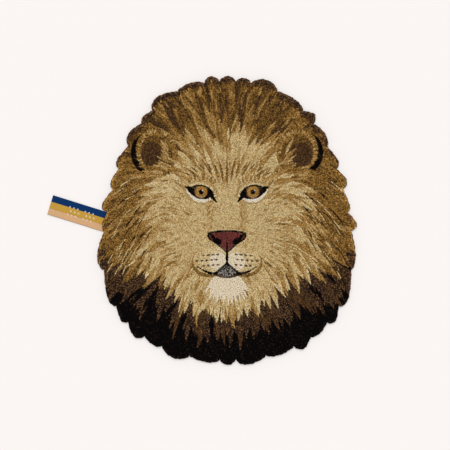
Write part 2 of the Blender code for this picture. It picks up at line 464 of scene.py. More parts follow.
for row in range(BEARD_ROWS):
    for place in range(BEARD_HAIRS):
        x = (place - BEARD_HAIRS // 2) * BEARD_PITCH + row % 2 * 4.0 + slip(2.5)
        y = BEARD_Y + BEARD_ROW_PITCH * row + 30.0 * (x / 72.0) ** 2 + slip(3.0)
        length = between(32.0, 44.0) * (1.0 - 0.3 * abs(x) / 80.0)
        yarn = one_of(pale_sand=22, sand=42, tan=28, gold=8)
        hair(yarn, (x, y), math.atan2(0.45 * x, -100.0), length, between(7.0, 9.5), belly=0.35)

# The face: short sand-coloured hair combed back from the nose, paler on its bridge and a little darker on the
# forehead. At the face's edge, the outer third of it, the hair grows longer and darker.

FACE_PITCH = 8.5
COMB_Y = -52.0
CHEEK_TOP = -40.0
FOREHEAD_START = 60.0
EDGE_SHARE = 0.34

fill("sand", chart_shares < -0.12)
for share, x, y in hair_roots(FACE_PITCH, jitter=2.2, lowest=-1.1, highest=0.02):
    side = math.copysign(1.0, x)
    if y < CHEEK_TOP:
        turn = math.atan2(1.1 * x, -abs(y - COMB_Y) - 18.0)
    else:
        turn = math.atan2(x, (y - COMB_Y) * (0.55 if y < FOREHEAD_START else 1.0))
    edge = min(max((share + EDGE_SHARE) / EDGE_SHARE, 0.0), 1.0)
    if abs(x) < 26.0 and -20.0 < y < 70.0:
        yarn = one_of(pale_sand=30, sand=70)
    elif abs(x) < 62.0 and FOREHEAD_START < y < 170.0:
        yarn = one_of(sand=60, tan=22 + 10 * edge, pale_sand=12, gold=6)
    else:
        yarn = one_of(sand=84 - 26 * edge, tan=8 + 26 * edge, pale_sand=8, gold=20 * edge,
                      golden_brown=4 * edge)
    length = between(15.0, 22.0) + 22.0 * edge
    turn = turn + slip(0.12)
    hair(yarn, (x, y), turn, length, between(4.8, 7.0), side * between(0.0, 0.1))

# The brow: pairs of darker strokes that fan up about a crest, and the shaded flanks of the nose's bridge.

BROW_WIDTH = 5.5
FLANK_ROWS = 17
FLANK_TOP = 66.0

BrowStroke = namedtuple("BrowStroke", "x y degrees length yarn")
BROW = (
    BrowStroke(x=10, y=98, degrees=6, length=60, yarn="golden brown"),
    BrowStroke(x=22, y=105, degrees=16, length=50, yarn="gold"),
    BrowStroke(x=37, y=112, degrees=27, length=46, yarn="golden brown"),
    BrowStroke(x=54, y=113, degrees=38, length=44, yarn="gold"),
    BrowStroke(x=72, y=109, degrees=50, length=44, yarn="golden brown"),
    BrowStroke(x=88, y=99, degrees=62, length=42, yarn="gold"),
)

hair("golden brown", (0.0, 84.0), 0.0, 74.0, BROW_WIDTH, belly=0.5)
for side in (-1, 1):
    for stroke in BROW:
        turn = side * math.radians(stroke.degrees)
        x, y, length = side * stroke.x, stroke.y, stroke.length
        hair(stroke.yarn, (x, y), turn, length, BROW_WIDTH, side * 0.1, belly=0.35)
        hair("mane brown", (x + side, y + 12), turn, length * 0.55, 3.2, side * 0.1)
    for row, y in enumerate(np.linspace(FLANK_TOP, -14.0, FLANK_ROWS)):
        x = side * (29.0 + 0.10 * (FLANK_TOP - y) + 4.5 * (row % 3))
        yarn = one_of(tan=62, gold=20, sand=18)
        hair(yarn, (x, y), math.pi - side * (0.30 + 0.10 * (row % 3)), between(17.0, 23.0), 5.2)

# The chin: cream hair that runs down into the beard, with a tan edge.

CHIN_Y = -161.0
CHIN_HALF_WIDTH = 45.0
CHIN_HALF_LENGTH = 29.0

fill("tan", oval(0.0, CHIN_Y, CHIN_HALF_WIDTH + 7.0, CHIN_HALF_LENGTH + 5.0))
fill("cream", oval(0.0, CHIN_Y, CHIN_HALF_WIDTH, CHIN_HALF_LENGTH))
for y in np.arange(CHIN_Y + 4.0, CHIN_Y - CHIN_HALF_LENGTH + 3.0, -7.0):
    for x in np.arange(3.0 - CHIN_HALF_WIDTH, CHIN_HALF_WIDTH, 7.5):
        if (x / CHIN_HALF_WIDTH) ** 2 + ((y - CHIN_Y) / CHIN_HALF_LENGTH) ** 2 < 0.95:
            root = (x + slip(2.0), y + slip(2.0))
            yarn = one_of(cream=94, pale_sand=6)
            hair(yarn, root, math.atan2(0.9 * x, -60.0), between(18.0, 26.0), 5.4)

# The mouth and the muzzle: two cream pads that meet below the nose, with rows of whisker roots, over a dark
# lip that is open in its middle.

PAD_TILT = math.radians(14.0)
WHISKER_ROWS = (-84.0, -97.0, -110.0)
LIP_HALF_WIDTH = 76.0
LIP_THICKNESS = 3.8

PadLayer = namedtuple("PadLayer", "yarn x y half_width half_length top", defaults=(NO_LIMIT,))
PAD = (
    PadLayer("golden brown", x=38, y=-101, half_width=51, half_length=39, top=-76),
    PadLayer("sand", x=36, y=-95, half_width=49, half_length=38),
    PadLayer("pale sand", x=31, y=-97, half_width=39, half_length=31),
    PadLayer("cream", x=21, y=-103, half_width=24, half_length=23),
)
MouthLayer = namedtuple("MouthLayer", "yarn half_width bottom rise")
MOUTH = (
    MouthLayer("soot", half_width=34.0, bottom=-144.0, rise=9.0),
    MouthLayer("slate", half_width=25.0, bottom=-139.5, rise=8.0),
)


def lip_line(out):
    """The lip's height this far to the side: down from the split below the nose, up again at the corner."""
    down = np.clip(out / 30.0, 0.0, 1.0) ** 0.9
    up = np.clip((out - 34.0) / 38.0, 0.0, 1.0) ** 1.7
    return -106.0 - 27.0 * down + 17.0 * up


for layer in PAD:
    for side in (-1, 1):
        pad = oval(side * layer.x, layer.y, layer.half_width, layer.half_length, side * PAD_TILT)
        fill(layer.yarn, pad & (Y < layer.top))
way_out = np.abs(X)
lip = lip_line(way_out)
for layer in MOUTH:
    bottom = layer.bottom + layer.rise * (way_out / layer.half_width) ** 2
    fill(layer.yarn, (way_out < layer.half_width) & (Y < lip) & (Y > bottom))
for side in (-1, 1):
    for row, y in enumerate(WHISKER_ROWS):
        for place in range(4 + row % 2):
            x = side * (19.0 + 12.0 * place + 4.0 * (row % 2))
            hair("bark", (x, y - 0.9 * place), side * math.radians(100.0), 8.5, 4.2)
thickness = LIP_THICKNESS * np.clip((LIP_HALF_WIDTH + 2.0 - way_out) / 40.0, 0.3, 1.0)
fill("black", (way_out < LIP_HALF_WIDTH) & (np.abs(Y - lip) < thickness))

# The nose: bare leather, narrow below and broad above, dark round its edge and in the two curled nostrils.

NoseRow = namedtuple("NoseRow", "y half_width")
NOSE = (
    NoseRow(y=-79, half_width=5),
    NoseRow(y=-70, half_width=13),
    NoseRow(y=-60, half_width=25),
    NoseRow(y=-49, half_width=42),
    NoseRow(y=-40, half_width=49),
    NoseRow(y=-31, half_width=48),
    NoseRow(y=-24, half_width=40),
)
NOSE_EDGE = 4.5


def nose_shape(inset):
    """Places nearer the middle line than the table's half width at their height, less the inset, under an
    arched top."""
    half = np.interp(Y, [row.y for row in NOSE], [row.half_width for row in NOSE], left=-1.0, right=-1.0)
    top = NOSE[-1].y - inset - 5.0 * (X / 45.0) ** 2
    return (np.abs(X) < half - inset) & (Y < top) & (Y > NOSE[0].y + inset)


fill("black", nose_shape(0.0))
fill("terracotta", nose_shape(NOSE_EDGE))
hair("black", (0.0, -42.0), math.pi, 34.0, 4.2, belly=0.75)
hair("black", (0.0, -72.0), math.pi, 40.0, 6.6, belly=0.45)
for side in (-1, 1):
    fill("black", oval(side * 25.0, -51.0, 12.5, 7.0, -side * math.radians(28.0)))
    hair("black", (side * 30.0, -44.0), side * math.radians(58.0), 20.0, 8.5, -side * 0.2)

# The eyes: amber, with a black rim drawn out at both corners, a pale patch below and short brow hairs above.
# Each layer lies between two lids, above its lowest place. The iris is cut off at each disc's highest.

EYE_X = 65.0
EYE_Y = 70.0
EYE_SIZE = 1.16
EYE_SLANT = math.radians(11.0)
PUPIL_RADIUS = 5.0
GLINT_RADIUS = 2.2
BROW_HAIRS = 7

EyeLayer = namedtuple("EyeLayer", "yarn half_width above below lowest", defaults=(-NO_LIMIT,))
EYE = (
    EyeLayer("tan", half_width=41.0, above=27.0, below=25.0),
    EyeLayer("pale sand", half_width=36.0, above=22.0, below=4.0, lowest=6.0),
    EyeLayer("cream", half_width=34.0, above=8.0, below=22.5),
    EyeLayer("white", half_width=29.0, above=4.0, below=19.0),
    EyeLayer("black", half_width=30.0, above=16.5, below=14.0),
)
IrisDisc = namedtuple("IrisDisc", "yarn radius highest", defaults=(NO_LIMIT,))
IRIS = (
    IrisDisc("bark", radius=15.0),
    IrisDisc("amber", radius=13.0),
    IrisDisc("gold", radius=10.0, highest=0.0),
)


def almond(out, up, half_width, above, below):
    """Between two lids, whose heights are powers of one minus the square of the way out."""
    lid = np.clip(1.0 - (out / half_width) ** 2, 0.0, 1.0)
    return (up < above * lid ** 0.8) & (up > -below * lid ** 0.9) & (lid > 0.0)


def by_eye(side, out, up):
    """The place on the chart this far out and up from the eye's middle in its own slanted directions."""
    return (side * (EYE_X + EYE_SIZE * (out * math.cos(EYE_SLANT) - up * math.sin(EYE_SLANT))),
            EYE_Y + EYE_SIZE * (out * math.sin(EYE_SLANT) + up * math.cos(EYE_SLANT)))


for side in (-1, 1):
    dx, dy = (side * X - EYE_X) / EYE_SIZE, (Y - EYE_Y) / EYE_SIZE
    out = dx * math.cos(EYE_SLANT) + dy * math.sin(EYE_SLANT)
    up = dy * math.cos(EYE_SLANT) - dx * math.sin(EYE_SLANT)
    for layer in EYE:
        shape = almond(out, up, layer.half_width, layer.above, layer.below)
        fill(layer.yarn, shape & (up > layer.lowest))
    open_eye = almond(out, up, 25.0, above=13.2, below=11.4)
    from_pupil = np.hypot(out, up - 1.0)
    for disc in IRIS:
        fill(disc.yarn, open_eye & (from_pupil < disc.radius) & (up < disc.highest))
    fill("black", from_pupil < PUPIL_RADIUS)
    fill("white", np.hypot(X - side * EYE_X - 4.4, Y - EYE_Y - 5.4) < GLINT_RADIUS)
    inner_turn = math.pi + side * math.radians(34.0)
    hair("black", by_eye(side, -20.0, 0.0), inner_turn, 27.0, 9.0, side * 0.10, belly=0.3)
    hair("black", by_eye(side, 18.0, 3.0), side * math.radians(72.0), 23.0, 9.0, belly=0.3)
    for place in range(BROW_HAIRS):
        way = -24.0 + 8.0 * place
        root = by_eye(side, way, 20.0 + 5.0 * math.cos(way / 26.0))
        yarn = ("gold", "golden brown")[place % 2]
        hair(yarn, root, side * math.radians(4.0 + way), 17.0, 4.8, belly=0.35)


# ---- The pile ----------------------------------------------------------------------------------------------
# Wool tufts shot through the ground cloth in a close honeycomb and sheared level at 15 mm, each of the
# chart's yarn. At the rim they splay outwards and round over. Where main shapes meet there is a shallow
# groove.

MILLIMETRE = 0.001
TUFT_PITCH = 2.75
TUFT_JITTER = 0.42
TUFT_SIDES = 5
TUFT_POINTS = 2 * TUFT_SIDES + 1
TUFT_GRID = (340.0, 376.0)
TUFT_TURN_JITTER = 0.12
PILE_TOP = 14.9
PILE_UNEVENNESS = 0.22
ROUNDING_WIDTH = 10.0
ROUNDING_DROP = 8.0
WALL_FOOT = 1.4
WALL_SLOPE = 1.2
SWELL_HEIGHT = 0.25
LOOKS = 8
PULLS = 3
PULL = 0.18
PULL_REACH = 1.3
GROOVE_REACH = 2.0
GROOVE_DEPTH = 1.1
GROOVE_CONTRAST = 62.0
GROOVE_START = 0.6
SKIRT_DEPTH = 2.4
SKIRT_RADIUS = 0.62
SHOULDER_DROP = 0.40
SHOULDER_DROP_RANGE = (0.1, 1.9)
SHOULDER_RADIUS = 0.53
NAP = 0.45
RAGGEDNESS = 0.22
UV_REACH = (0.47, 0.3, 0.0)

# A tuft's cut tip is brighter than the yarn's dye. At the rim, where tufts splay, their colour is lightened
# with painted light, the more the further they lean, as if the nap caught more light there.
BLEACH = 1.27
RIM_PAINTED_LIGHT = 0.9
BRIGHTEST = 0.82

Swell = namedtuple("Swell", "across along phase")
SWELLS = (
    Swell(across=3.1, along=1.7, phase=0.4),
    Swell(across=1.3, along=-3.4, phase=2.0),
    Swell(across=-4.2, along=2.6, phase=4.1),
)

# Round the rim the tufts lean together in clumps, counted in waves all the way round.
Clump = namedtuple("Clump", "waves lean phase")
CLUMPS = (
    Clump(waves=83, lean=0.40, phase=0.3),
    Clump(waves=127, lean=0.35, phase=2.2),
    Clump(waves=211, lean=0.30, phase=5.0),
)

# Over the rim the pile follows a quarter of an oval and then a nearly upright wall. Unrolled, each step of it
# has a way from the flat top, a distance in from the outline, a height, and a lean that is its slope's.
quarter = np.linspace(0.0, math.pi / 2.0, 24)
wall = np.linspace(0.0, 1.0, 6)[1:]
rim_in = np.append(ROUNDING_WIDTH * (1.0 - np.sin(quarter)), WALL_SLOPE * wall)
rim_height = np.append(PILE_TOP - ROUNDING_DROP * (1.0 - np.cos(quarter)),
                       PILE_TOP - ROUNDING_DROP + (WALL_FOOT + ROUNDING_DROP - PILE_TOP) * wall)
rim_way = np.append(0.0, np.cumsum(np.hypot(np.diff(rim_in), np.diff(rim_height))))
rim_lean = np.arctan2(-np.gradient(rim_height, rim_way), -np.gradient(rim_in, rim_way))
UNROLLED = rim_way[-1] - ROUNDING_WIDTH


def swell(x, y):
    """Low waves in the pile's top, 0 at their crests."""
    waves = sum(np.sin(math.tau * (s.across * x + s.along * y) * MILLIMETRE + s.phase) for s in SWELLS)
    return SWELL_HEIGHT * (waves - len(SWELLS))


def over_rim(places):
    """Lays places of the flat chart on the pile, (position, normal), those near the outline over its rim."""
    depth, outwards = from_rim(places)
    way = np.clip(ROUNDING_WIDTH - depth, 0.0, None)
    inwards = np.where(depth > ROUNDING_WIDTH, depth, np.interp(way, rim_way, rim_in))
    height = np.interp(way, rim_way, rim_height)
    lean = np.interp(way, rim_way, rim_lean)
    turn = np.arctan2(*places.T)
    clumped = sum(clump.lean * np.sin(clump.waves * turn + clump.phase) for clump in CLUMPS)
    flat = places + outwards * (depth - inwards + clumped * np.sin(lean))[:, None]
    height = height + swell(*flat.T) * height / PILE_TOP
    normal = np.column_stack([outwards * np.sin(lean)[:, None], np.cos(lean)])
    return np.column_stack([flat, height]), normal


def chart_at(places):
    """The chart's yarn number at each place."""
    column = np.rint((places[:, 0] + CHART_HALF_WIDTH) / CHART_STEP).astype(int)
    row = np.rint((places[:, 1] + CHART_HALF_LENGTH) / CHART_STEP).astype(int)
    return chart[np.clip(row, 0, len(rows) - 1), np.clip(column, 0, len(columns) - 1)]


def pull_of_edges(places, reach):
    """(how strong the nearest change of shade is, the way away from it), from looks all round each place."""
    here = LIGHTNESS[chart_at(places)]
    strength = np.zeros(len(places))
    away = np.zeros((len(places), 2))
    for look in range(LOOKS):
        way = heading(math.tau * look / LOOKS)
        change = np.abs(LIGHTNESS[chart_at(places + reach * way)] - here)
        strength = np.maximum(strength, change)
        away -= way * np.clip(change / GROOVE_CONTRAST, 0.0, 1.0)[:, None]
    return strength, away


# The honeycomb's places, out to the foot of the unrolled rim, each shifted by chance and then off the edges.
tufts = np.column_stack(honeycomb(TUFT_PITCH, *TUFT_GRID))
tufts = tufts + chance.normal(0.0, TUFT_JITTER, tufts.shape)
tufts = tufts[np.hypot(*tufts.T) < rim_radius(np.arctan2(*tufts.T)) + 2.0 * UNROLLED]
tufts = tufts[from_rim(tufts)[0] > -UNROLLED]
for step in range(PULLS):
    tufts = tufts + PULL * pull_of_edges(tufts, PULL_REACH)[1]
tip, tuft_normal = over_rim(tufts)

yarn_here = chart_at(tufts)
flecked = chance.random(len(tufts)) < np.array([yarn.share for yarn in YARNS])[yarn_here]
tuft_colour = np.where(flecked[:, None], FLECK_COLOURS[yarn_here], YARN_COLOURS[yarn_here])
leaning = np.hypot(tuft_normal[:, 0], tuft_normal[:, 1])
unevenness = np.array([yarn.unevenness for yarn in YARNS])[yarn_here]
# Each tuft's uneven dye, times painted light at the rim that grows with the tuft's lean.
dye_and_rim_light = BLEACH * (1.0 + RIM_PAINTED_LIGHT * leaning) * np.exp(chance.normal(0.0, 1.0, len(tufts)) * unevenness)
tuft_colour = tuft_colour * dye_and_rim_light[:, None]
tuft_colour = tuft_colour * np.minimum(1.0, BRIGHTEST / tuft_colour.max(axis=1, keepdims=True))

edge_strength = pull_of_edges(tufts, GROOVE_REACH)[0]
groove = GROOVE_DEPTH * np.clip(edge_strength / GROOVE_CONTRAST - GROOVE_START, 0.0, 1.0)
tip = tip + tuft_normal * (chance.normal(0.0, PILE_UNEVENNESS, len(tufts)) - groove)[:, None]


def mesh_from_arrays(name, points, triangles):
    """A mesh of these points, given in millimetres, and these triangles of their numbers."""
    mesh = bpy.data.meshes.new(name)
    mesh.vertices.add(len(points))
    mesh.vertices.foreach_set("co", (points * MILLIMETRE).astype(np.float32).ravel())
    mesh.loops.add(triangles.size)
    mesh.loops.foreach_set("vertex_index", triangles.astype(np.int32).ravel())
    mesh.polygons.add(len(triangles))
    mesh.polygons.foreach_set("loop_start", np.arange(0, triangles.size, 3, dtype=np.int32))
    mesh.update(calc_edges=True)
    mesh.validate()
    return mesh


def set_attribute(mesh, name, values):
    """A value or a colour for each point."""
    kind, key = ("FLOAT", "value") if values.ndim == 1 else ("FLOAT_COLOR", "color")
    if values.ndim == 2:
        values = np.column_stack([values, np.ones(len(values))])
    layer = mesh.attributes.new(name, kind, "POINT")
    layer.data.foreach_set(key, values.astype(np.float32).ravel())


def placed(name, data):
    """A new object in the scene, at the origin."""
    made = bpy.data.objects.new(name, data)
    bpy.context.scene.collection.objects.link(made)
    return made


def finished(name, mesh, *materials):
    """An object of that mesh, smooth, in the scene, with its materials, riding on the rug's one body."""
    piece = placed(name, mesh)
    for material in materials:
        mesh.materials.append(material)
    mesh.polygons.foreach_set("use_smooth", np.ones(len(mesh.polygons), dtype=bool))
    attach(piece, "root")
    return piece


def pile_piece(name, chosen, material):
    """The tufts of one region. Each is a low dome about its normal: a ring of points at its skirt's foot, a
    smaller, ragged ring at its shoulder and a tip that the nap sets askew. None goes below the floor. On the
    piece's UV map each tuft has a square cell of its own, with the tip in the middle."""
    count = int(chosen.sum())
    top, normal = tip[chosen], tuft_normal[chosen]
    level = np.maximum(np.hypot(normal[:, 0], normal[:, 1]), 1e-9)
    beside = np.column_stack([-normal[:, 1], normal[:, 0], np.zeros(count)]) / level[:, None]
    beside[level < 1e-6] = (0.0, 1.0, 0.0)
    forth = np.cross(beside, normal)
    around = between(0.0, math.tau, (count, 1)) + math.tau * np.arange(TUFT_SIDES) / TUFT_SIDES
    around = around + chance.normal(0.0, TUFT_TURN_JITTER, around.shape)
    ring = np.cos(around)[:, :, None] * forth[:, None, :] + np.sin(around)[:, :, None] * beside[:, None, :]
    radius = TUFT_PITCH * between(1.0 - RAGGEDNESS, 1.0 + RAGGEDNESS, (count, TUFT_SIDES, 1))
    drop = SHOULDER_DROP * between(*SHOULDER_DROP_RANGE, (count, TUFT_SIDES, 1))
    skirt = (top - normal * SKIRT_DEPTH)[:, None, :] + SKIRT_RADIUS * TUFT_PITCH * ring
    shoulder = top[:, None, :] - normal[:, None, :] * drop + SHOULDER_RADIUS * radius * ring
    apex = top + chance.normal(0.0, NAP, (count, 3)) * (1.0 - np.abs(normal))
    points = np.concatenate([skirt, shoulder, apex[:, None, :]], axis=1)
    points[:, :, 2] = np.maximum(points[:, :, 2], 0.0)

    here = np.arange(TUFT_SIDES)
    after = (here + 1) % TUFT_SIDES
    one = np.concatenate([
        np.column_stack([here, after, after + TUFT_SIDES]),
        np.column_stack([here, after + TUFT_SIDES, here + TUFT_SIDES]),
        np.column_stack([here + TUFT_SIDES, after + TUFT_SIDES, np.full(TUFT_SIDES, 2 * TUFT_SIDES)]),
    ])
    triangles = (one[None, :, :] + TUFT_POINTS * np.arange(count)[:, None, None]).reshape(-1, 3)
    mesh = mesh_from_arrays(name, points.reshape(-1, 3), triangles)
    set_attribute(mesh, "yarn_colour", np.repeat(tuft_colour[chosen], TUFT_POINTS, axis=0))
    rise = np.repeat([0.0, 0.8, 1.0], [TUFT_SIDES, TUFT_SIDES, 1])
    set_attribute(mesh, "rise", np.tile(rise, count))

    cells = math.ceil(math.sqrt(count))
    middle = np.stack([np.arange(count) % cells, np.arange(count) // cells], axis=1) + 0.5
    even = math.tau * here / TUFT_SIDES
    circle = np.stack([np.cos(even), np.sin(even)], axis=1)
    spread = np.concatenate([circle * reach for reach in UV_REACH])[:TUFT_POINTS]
    uv = ((middle[:, None, :] + spread[None, :, :]) / cells).reshape(-1, 2)
    layer = mesh.uv_layers.new(name="OFBake")
    layer.uv.foreach_set("vector", uv[triangles.ravel()].astype(np.float32).ravel())
    return finished(name, mesh, material)


class Value:
    """A shader socket that can be reckoned with: each operator adds the Math node for it."""

    def __init__(self, tree, socket):
        self.tree = tree
        self.socket = socket

    def node(self, kind, settings=(), **links):
        """Adds a node, with its settings, and links or sets its inputs by name, or by number as in_0."""
        made = self.tree.nodes.new(kind)
        for key, setting in dict(settings).items():
            setattr(made, key, setting)
        for key, value in links.items():
            spot = made.inputs[int(key[3:])] if key.startswith("in_") else made.inputs[key.replace("_", " ")]
            if isinstance(value, Value):
                self.tree.links.new(value.socket, spot)
            else:
                spot.default_value = value
        return made

    def out(self, kind, settings=(), output=0, **links):
        """One output of a node that is added so."""
        return Value(self.tree, self.node(kind, settings, **links).outputs[output])

    def reckon(self, operation, *others):
        """The Math node of that operation on this value and the others."""
        values = {f"in_{place}": value for place, value in enumerate((self, *others))}
        return self.out("ShaderNodeMath", {"operation": operation}, **values)

    __add__ = __radd__ = partialmethod(reckon, "ADD")
    __sub__ = partialmethod(reckon, "SUBTRACT")
    __mul__ = __rmul__ = partialmethod(reckon, "MULTIPLY")
    __truediv__ = partialmethod(reckon, "DIVIDE")
    __gt__ = partialmethod(reckon, "GREATER_THAN")
    __lt__ = partialmethod(reckon, "LESS_THAN")

    def __rsub__(self, other):
        return self * -1.0 + other

    def mixed(self, first, second):
        """This value's share of the way from the first colour to the second."""
        return self.out("ShaderNodeMix", {"data_type": "RGBA"}, output=2, in_0=self, in_6=first, in_7=second)


def new_material(name, roughness, sheen):
    """(material, a way in to its nodes, its shader) for a cloth with no gloss but its sheen."""
    made = bpy.data.materials.new(name)
    made.use_nodes = True
    shader = made.node_tree.nodes["Principled BSDF"]
    shader.inputs["Roughness"].default_value = roughness
    shader.inputs["Specular IOR Level"].default_value = 0.03
    shader.inputs["Sheen Weight"].default_value = sheen
    shader.inputs["Sheen Roughness"].default_value = 0.5
    return made, Value(made.node_tree, None), shader


def attribute(start, name, output="Color"):
    """The mesh's own attribute of that name."""
    return start.out("ShaderNodeAttribute", {"attribute_name": name}, output=output)


def noise(start, scale, detail=3.0):
    """Blotches of about 1 / scale metres in the piece's own space."""
    place = start.out("ShaderNodeTexCoord", output="Object")
    kind = {"noise_dimensions": "3D"}
    return start.out("ShaderNodeTexNoise", kind, Vector=place, Scale=scale, Detail=detail)


def join(value, shader, name):
    """Links the value to the shader's socket of that name."""
    value.tree.links.new(value.socket, shader.inputs[name])


def paint(colour, shade, shader):
    """The shader's base colour is this colour times this shade."""
    shaded = colour.out("ShaderNodeVectorMath", {"operation": "SCALE"}, in_0=colour, Scale=shade)
    join(shaded, shader, "Base Color")


def emboss(height, shader, strength, distance):
    """The shader's normal is tilted by the slope of this height, which is up to the distance in metres."""
    join(height.out("ShaderNodeBump", Strength=strength, Distance=distance, Height=height), shader, "Normal")


# Wool: the tuft's own yarn, mottled by its fibres and darker down its skirt, where light doesn't reach.
wool, start, shader = new_material("wool", roughness=0.95, sheen=0.01)
fibres = noise(start, 2600.0)
shade = (0.50 + 0.50 * attribute(start, "rise", "Fac")) * (0.62 + 0.76 * fibres)
paint(attribute(start, "yarn_colour"), shade, shader)
emboss(fibres, shader, strength=1.0, distance=0.0006)

# The regions of the pile, each a piece of its own. Their names say which part of the head they are.
CROWN_END = 42.0
SIDES_END = 102.0
tuft_degrees = np.degrees(np.arctan2(*tufts.T))
from_crown = np.abs(tuft_degrees)
on_mane = mane_share(*tufts.T) >= 0.0
on_side = on_mane & (from_crown >= CROWN_END) & (from_crown < SIDES_END)
on_lower = on_mane & (from_crown >= SIDES_END)
REGIONS = {
    "face_pile": ~on_mane,
    "crown_pile": on_mane & (from_crown < CROWN_END),
    "left_mane_pile": on_side & (tuft_degrees < 0.0),
    "right_mane_pile": on_side & (tuft_degrees >= 0.0),
    "lower_left_mane_pile": on_lower & (tuft_degrees < 0.0),
    "lower_right_mane_pile": on_lower & (tuft_degrees >= 0.0),
}
pile = [pile_piece(name, chosen, wool) for name, chosen in REGIONS.items()]


# ---- The ground cloth and its backing ----------------------------------------------------------------------
# The woven ground that holds the tufts, with their lower halves, latexed and backed with plain cotton cloth
# whose edge is turned in. From above only a dark seam between tufts shows, from below the cotton and its hem.

SPOKES = len(OUTLINE)
GroundRing = namedtuple("GroundRing", "inwards height")
GROUND_RINGS = (
    GroundRing(inwards=21.0, height=0.45),
    GroundRing(inwards=20.0, height=0.05),
    GroundRing(inwards=13.0, height=0.0),
    GroundRing(inwards=6.0, height=0.05),
    GroundRing(inwards=4.2, height=0.7),
    GroundRing(inwards=3.2, height=2.6),
    GroundRing(inwards=2.6, height=PILE_TOP - ROUNDING_DROP),
)
UNDER_SHARES = np.linspace(0.08, 0.9, 4)
TOP_SHARES = np.linspace(0.965, 0.03, 14)
GROUND_BELOW_TIPS = 1.9
COTTON_BELOW = 0.8

quarter = np.linspace(0.0, math.pi / 2.0, 10)[::-1]
shoulder_in = GROUND_BELOW_TIPS + ROUNDING_WIDTH * (1.0 - np.sin(quarter))
shoulder_drop = (ROUNDING_DROP - GROUND_BELOW_TIPS) * (1.0 - np.cos(quarter))
ring_in = np.concatenate([[ring.inwards for ring in GROUND_RINGS], shoulder_in])
ring_height = np.concatenate([[ring.height for ring in GROUND_RINGS],
                              PILE_TOP - GROUND_BELOW_TIPS - shoulder_drop])


def ground_points():
    """Rings about the middle: flat ones from the underside's middle out, the rim's, each of them the outline
    drawn in by its inset, and flat ones in to the top's middle."""
    rim = OUTLINE[None, :, :] * (1.0 - ring_in[:, None] / OUTLINE_RADII[None, :])[:, :, None]
    under = rim[0][None, :, :] * UNDER_SHARES[:, None, None]
    over = rim[-1][None, :, :] * TOP_SHARES[:, None, None]
    flat = np.concatenate([under, rim, over])
    height = np.concatenate([np.full(len(under), ring_height[0]), ring_height,
                             np.full(len(over), ring_height[-1])])
    height = height[:, None] + swell(flat[:, :, 0], flat[:, :, 1]) * height[:, None] / PILE_TOP
    return np.concatenate([flat, height[:, :, None]], axis=2)


def halves(a, b, c, d):
    """Two triangles for each four-cornered face, a b d and a d c."""
    return np.concatenate([np.stack(corners, axis=-1).reshape(-1, 3) for corners in ((a, b, d), (a, d, c))])


grid = ground_points()
poles = np.array([[0.0, 0.0, grid[0, 0, 2]], [0.0, 0.0, grid[-1, 0, 2]]])
points = np.concatenate([grid.reshape(-1, 3), poles])
ring, spoke = np.mgrid[0:len(grid) - 1, 0:SPOKES]
a, b = ring * SPOKES + spoke, ring * SPOKES + (spoke + 1) % SPOKES
here, after = np.arange(SPOKES), (np.arange(SPOKES) + 1) % SPOKES
last = (len(grid) - 1) * SPOKES
triangles = np.concatenate([
    halves(a, b, a + SPOKES, b + SPOKES),
    np.stack([here, np.full(SPOKES, len(points) - 2), after], axis=-1),
    np.stack([last + here, last + after, np.full(SPOKES, len(points) - 1)], axis=-1),
])
mesh = mesh_from_arrays("ground_cloth", points, triangles)
set_attribute(mesh, "yarn_colour", YARN_COLOURS[chart_at(points[:, :2])])

# Between the tufts: their own yarns, in deep shade.
roots, start, shader = new_material("tuft_roots", roughness=0.95, sheen=0.0)
grain = noise(start, 900.0)
paint(attribute(start, "yarn_colour"), 0.25 + 0.35 * grain, shader)
emboss(grain, shader, strength=0.6, distance=0.0008)

# The backing: undyed cotton in plain weave, its yarns 0.9 mm apart, with slubs.
BACKING_PITCH = 0.0009
SHADED_COTTON = (0.38, 0.33, 0.25, 1.0)
LIT_COTTON = (0.72, 0.66, 0.54, 1.0)
cotton, start, shader = new_material("backing_cotton", roughness=0.9, sheen=0.1)
parts = start.node("ShaderNodeSeparateXYZ", in_0=start.out("ShaderNodeTexCoord", output="Object"))
across, along = (Value(start.tree, parts.outputs[axis]) * (math.pi / BACKING_PITCH) for axis in "XY")
crossing = (across.reckon("SINE") * along.reckon("SINE")).reckon("ABSOLUTE").reckon("POWER", 0.5)
tone = 0.45 * crossing + 0.55 * noise(start, 160.0, detail=4.0) - 0.1
join(tone.mixed(SHADED_COTTON, LIT_COTTON), shader, "Base Color")
emboss(crossing, shader, strength=0.5, distance=0.0003)

ground = finished("ground_cloth", mesh, roots, cotton)
underneath = points[triangles][:, :, 2].max(axis=1) < COTTON_BELOW
mesh.polygons.foreach_set("material_index", underneath.astype(np.int32))
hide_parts("tufted_rug")


# ---- The ribbon loop ---------------------------------------------------------------------------------------
# One length of woven satin ribbon in three bands, folded in two, its raw ends sewn between the pile and the
# backing. Two groups of plain cream diamonds are woven into it.

RIBBON_WIDTH = 50.0
RIBBON_END = (-441.0, 39.0)
RIBBON_TURN = math.radians(162.6)
RIBBON_TUCK = 17.0
RIBBON_OUT = 141.0
RIBBON_CAD_THICKNESS = 1.0
RIBBON_THICKNESS = 0.7
GAP_AT_ROOT = 0.4
GAP_AT_FOLD = 2.0
ROOT_HEIGHT = 2.1
FLOOR_HEIGHT = 0.6
LEVEL_OUT = 20.0
DROOP = 32.0
RIPPLE_HEIGHT = 0.25
RIPPLE_LENGTH = 11.0
RIPPLE_SKEW = 2.6
RIBBON_STEPS = 150
RIBBON_COLUMNS = 24


def eased(share):
    """From 0 to 1 and level at both ends, three times the share's square less twice its cube."""
    share = np.clip(share, 0.0, 1.0)
    return share * share * (3.0 - 2.0 * share)


